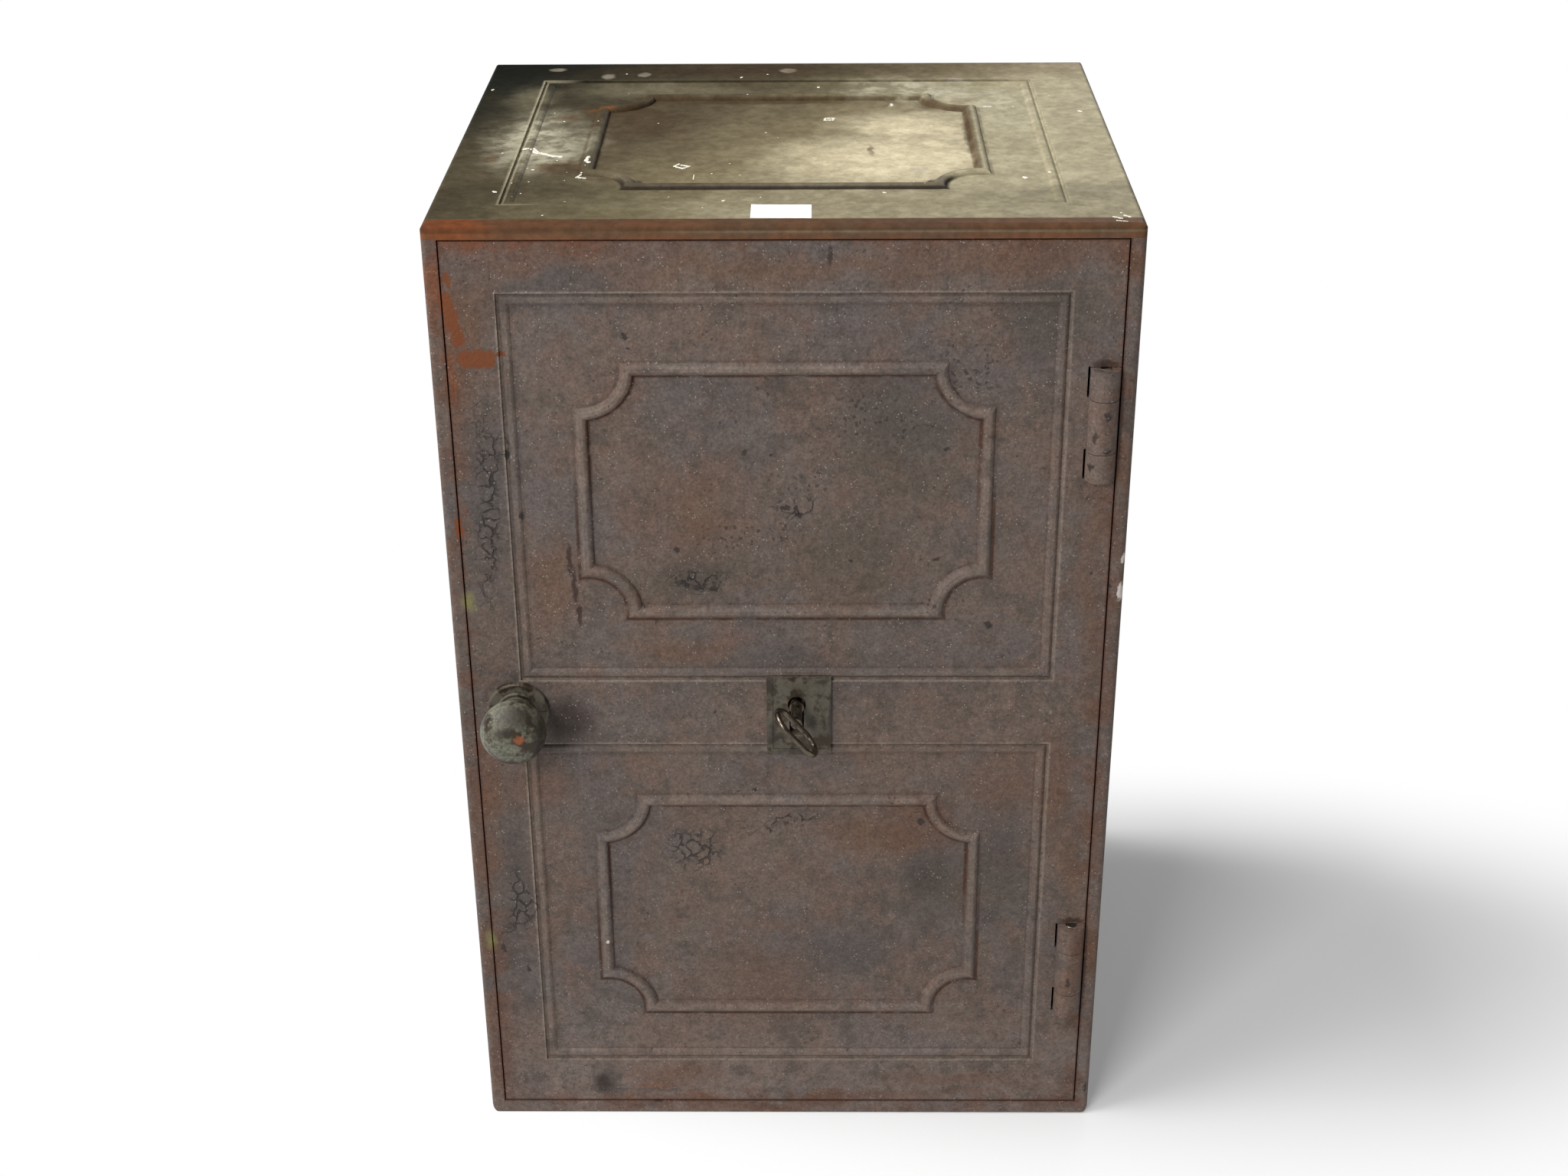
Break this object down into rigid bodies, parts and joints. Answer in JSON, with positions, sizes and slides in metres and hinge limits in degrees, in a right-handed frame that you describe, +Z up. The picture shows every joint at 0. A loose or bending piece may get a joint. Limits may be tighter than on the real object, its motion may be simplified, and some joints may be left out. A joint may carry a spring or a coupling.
{
  "type": "strongbox",
  "caption": "Upright cast iron strong box with a moulded hinged door, a turning knob that throws round bolts, and a key lock.",
  "frame": {"origin": "centre of the case's footprint on the floor, at the middle of the base plate's underside", "axes": "+Z up, +X to the right as seen from the front, +Y away from the viewer; the door is on the -Y side"},
  "size_m": [0.4508, 0.4415, 0.7005],
  "materials": {
    "front_iron": "worn brown-grey paint and rust over cast iron",
    "top_iron": "worn olive-grey paint with stains and paint spatter",
    "inside_iron": "dark oiled and rusted iron",
    "steel": "dull steel with brown rust",
    "old_brass": "brass with green-grey verdigris and old paint",
    "key_steel": "worn steel key with a yellowed sheen"
  },
  "bodies": {
    "case": {"base_plate": "front_iron", "left_side_plate": "front_iron", "right_side_plate": "front_iron", "back_plate": "front_iron", "top_plate": "top_iron", "tie_rods": "steel", "tie_rod_nuts": "steel", "back_plate_screws": "steel", "left_stop_bar": "inside_iron", "right_stop_bar": "inside_iron", "top_stop_bar": "inside_iron", "bottom_stop_bar": "inside_iron", "stop_bar_screws": "steel", "left_shelf_ledge": "inside_iron", "right_shelf_ledge": "inside_iron", "ledge_screws": "steel", "shelf": "inside_iron", "shelf_screws": "steel", "upper_hinge_pin": "steel", "lower_hinge_pin": "steel"},
    "door": {"door_plate": "front_iron", "escutcheon": "old_brass", "escutcheon_pins": "old_brass", "knob_rose": "old_brass", "rose_screws": "old_brass", "spindle_bush": "old_brass", "upper_bolt_guide": "inside_iron", "lower_bolt_guide": "inside_iron", "tail_guide": "inside_iron", "guide_screws": "steel", "lock_case": "inside_iron", "lock_cap": "inside_iron", "lock_cap_screws": "steel", "lock_fixing_screws": "steel", "lock_stump": "steel", "lock_spring": "steel"},
    "knob_set": {"knob": "old_brass", "knob_pin": "steel", "knob_spindle": "steel", "crank_arm": "inside_iron", "crank_stud": "steel", "crank_pin": "steel"},
    "bolt_work": {"bolt_carriage": "inside_iron", "upper_bolt": "steel", "lower_bolt": "steel"},
    "key_body": {"key": "key_steel"},
    "lock_bolt_body": {"lock_bolt": "steel"}
  },
  "joints": [
    {"name": "door_swing", "type": "hinge", "parent": "case", "child": "door", "pos_m": [0.204, -0.196, 0.35], "axis": [0, 0, 1], "range_deg": [0, 165]},
    {"name": "knob_turn", "type": "hinge", "parent": "door", "child": "knob_set", "pos_m": [-0.184, -0.195, 0.355], "axis": [0, -1, 0], "range_deg": [0, 60]},
    {"name": "bolt_slide", "type": "slide", "parent": "door", "child": "bolt_work", "axis": [-1, 0, 0], "range_m": [0, 0.014]},
    {"name": "key_turn", "type": "hinge", "parent": "door", "child": "key_body", "pos_m": [0.007, -0.195, 0.359], "axis": [0, -1, 0], "range_deg": [0, 100]},
    {"name": "lock_bolt_slide", "type": "slide", "parent": "door", "child": "lock_bolt_body", "axis": [0, 0, 1], "range_m": [0, 0.012]}
  ],
  "couplings": [
    {"joint": "knob_turn", "follows": "bolt_slide", "rad_per_m": 74.799},
    {"joint": "key_turn", "follows": "lock_bolt_slide", "rad_per_m": 145.44}
  ]
}
